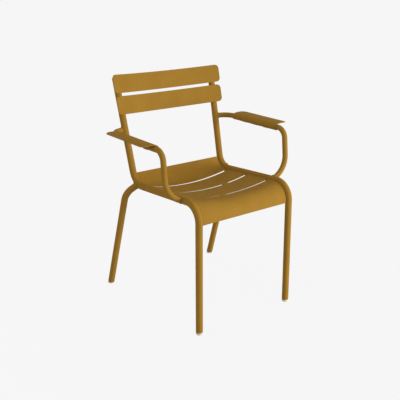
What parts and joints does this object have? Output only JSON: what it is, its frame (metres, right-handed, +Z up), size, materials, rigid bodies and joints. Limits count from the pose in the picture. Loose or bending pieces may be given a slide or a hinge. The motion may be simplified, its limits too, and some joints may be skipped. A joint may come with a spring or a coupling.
{
  "type": "metal garden armchair",
  "caption": "Stacking outdoor armchair of bent round tube with pressed sheet slats for the seat and back and curled and arched sheet armrests, on plastic floor glides.",
  "frame": {"origin": "on the floor, midway between the two sides and between the front and rear feet", "axes": "+Z up, -Y the way the sitter faces, +X to the viewer's right when the chair is seen from the front"},
  "size_m": [0.6484, 0.5637, 0.8449],
  "materials": {
    "powder_coated_aluminium": "satin",
    "white_plastic": "matte"
  },
  "bodies": {
    "root": {"side_frame_left": "powder_coated_aluminium", "side_frame_right": "powder_coated_aluminium", "rear_leg_left": "powder_coated_aluminium", "rear_leg_right": "powder_coated_aluminium", "arm_tube_left": "powder_coated_aluminium", "arm_tube_right": "powder_coated_aluminium", "armrest_left": "powder_coated_aluminium", "armrest_right": "powder_coated_aluminium", "back_slat_upper": "powder_coated_aluminium", "back_slat_lower": "powder_coated_aluminium", "seat_slat_front": "powder_coated_aluminium", "seat_slat_front_middle": "powder_coated_aluminium", "seat_slat_rear_middle": "powder_coated_aluminium", "seat_slat_rear": "powder_coated_aluminium", "post_cap_left": "powder_coated_aluminium", "post_cap_right": "powder_coated_aluminium", "weld_beads_arms": "powder_coated_aluminium", "weld_beads_rear_legs": "powder_coated_aluminium", "weld_beads_seat": "powder_coated_aluminium", "weld_beads_back": "powder_coated_aluminium", "weld_beads_armrests": "powder_coated_aluminium", "foot_glide_front_left": "white_plastic", "foot_glide_front_right": "white_plastic", "foot_glide_rear_left": "white_plastic", "foot_glide_rear_right": "white_plastic"}
  },
  "joints": []
}
